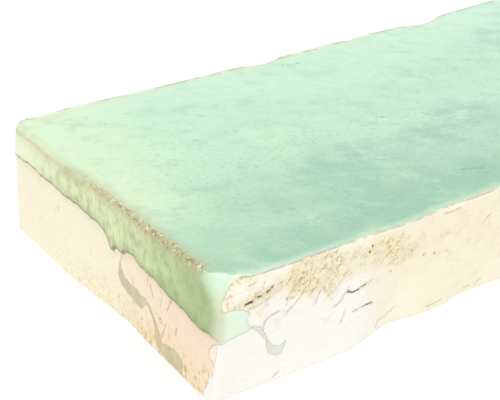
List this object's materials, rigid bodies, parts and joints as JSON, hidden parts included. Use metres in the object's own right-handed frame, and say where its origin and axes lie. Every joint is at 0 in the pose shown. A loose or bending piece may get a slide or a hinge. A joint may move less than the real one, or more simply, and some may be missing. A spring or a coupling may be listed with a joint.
{
  "type": "zellige tile",
  "caption": "Rectangular hand-cut fired clay tile with a wavy mint green glazed face, undercut sides and glaze run down one end, bedded on walls and floors.",
  "frame": {"origin": "centre of the flat back face, on the surface that the tile lies on", "axes": "+X along the tile away from its glazed-over end, +Y across it, +Z out of the glazed face"},
  "size_m": [0.1512, 0.0514, 0.0163],
  "materials": {
    "glazed_clay": "uneven glossy mint green glaze on the face and down one end, over bare matt cream clay"
  },
  "bodies": {
    "root": {"tile": "glazed_clay"}
  },
  "joints": []
}
